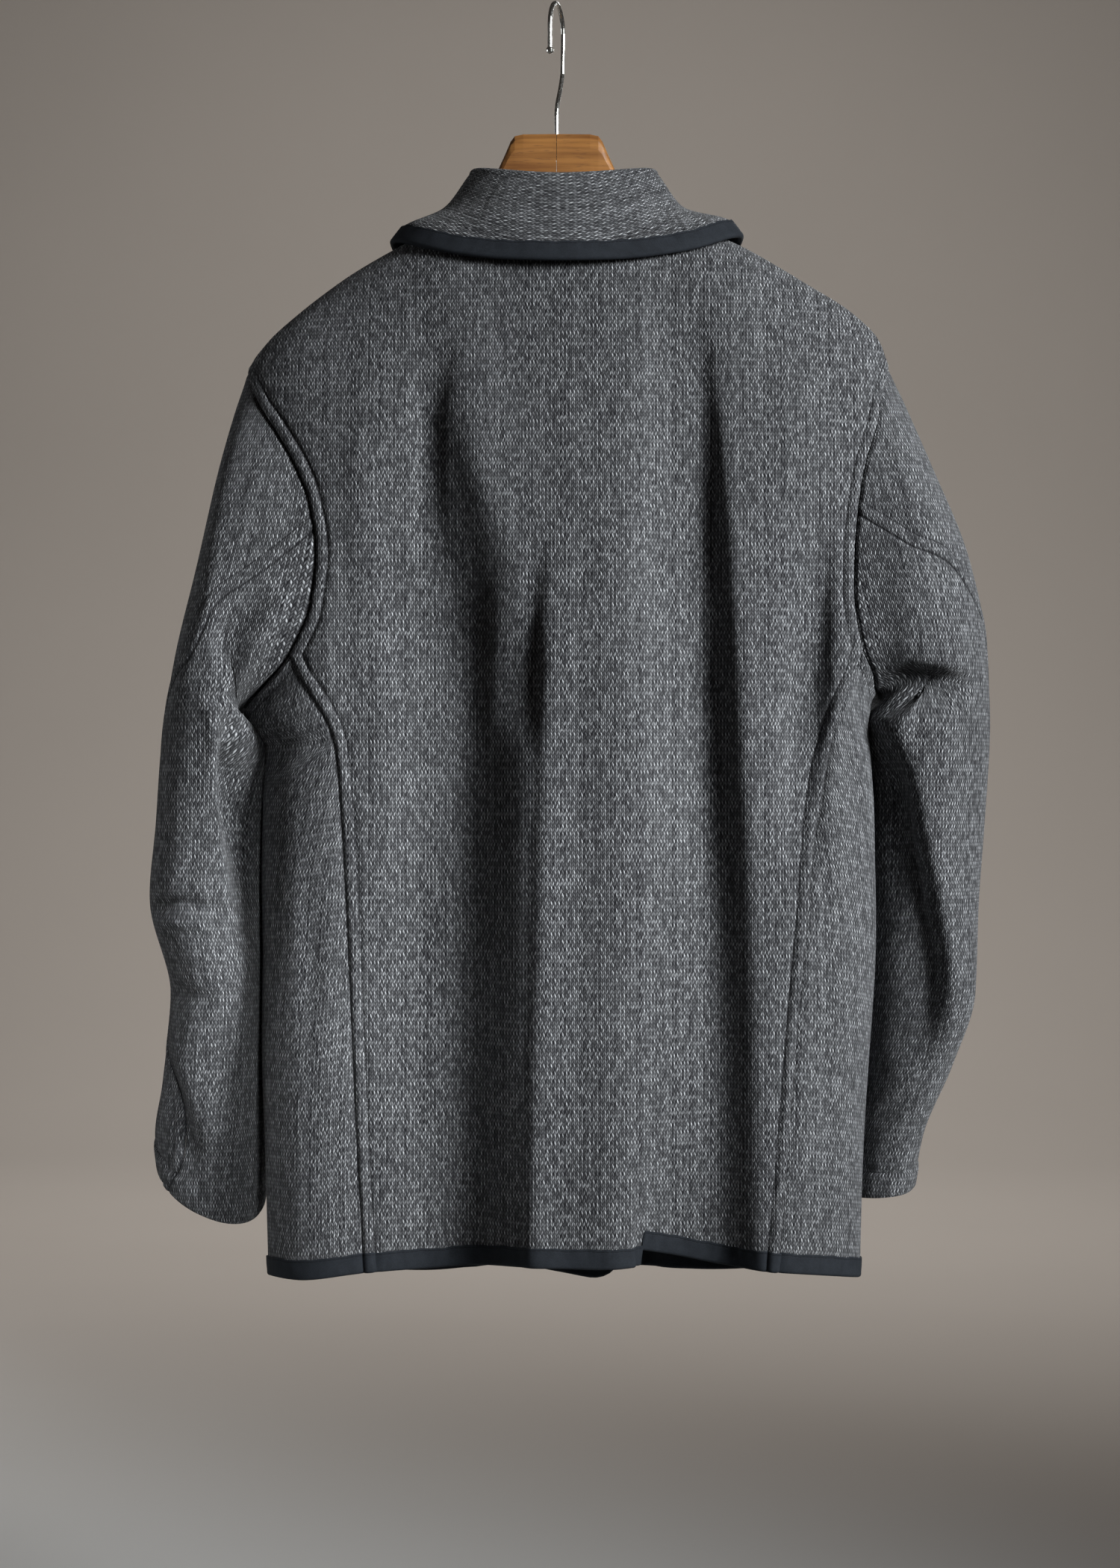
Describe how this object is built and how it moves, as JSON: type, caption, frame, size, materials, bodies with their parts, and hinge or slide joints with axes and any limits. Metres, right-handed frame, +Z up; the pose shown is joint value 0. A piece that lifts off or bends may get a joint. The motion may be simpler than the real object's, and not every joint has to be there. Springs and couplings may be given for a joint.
{
  "type": "knitted work jacket on a wooden hanger",
  "caption": "Hip-length marled wool work jacket with a turned-down collar and dark tape-bound edges, buttoned up and hanging on a wooden hanger with a wire hook.",
  "frame": {"origin": "inside top of the hanger's wire hook, where it sits on a rail", "axes": "+Z up, -Y out of the jacket's back, +X towards the wearer's right"},
  "size_m": [0.6132, 0.2189, 0.9357],
  "materials": {
    "marled_wool": "matte knitted wool, near-black with off-white flecks",
    "twill_tape": "matte blue-black twill",
    "varnished_wood": "satin varnish",
    "steel_wire": "bright wire",
    "dark_button": "satin, horn-like"
  },
  "bodies": {
    "root": {"back": "marled_wool", "front_left": "marled_wool", "front_right": "marled_wool", "sleeve_left_top": "marled_wool", "sleeve_left_under": "marled_wool", "sleeve_right_top": "marled_wool", "sleeve_right_under": "marled_wool", "collar": "marled_wool", "binding_collar": "twill_tape", "binding_back": "twill_tape", "binding_front_left": "twill_tape", "binding_front_right": "twill_tape", "button_1": "dark_button", "button_2": "dark_button", "button_3": "dark_button", "button_4": "dark_button", "button_5": "dark_button", "hanger_left": "varnished_wood", "hanger_right": "varnished_wood", "hook": "steel_wire"}
  },
  "joints": []
}
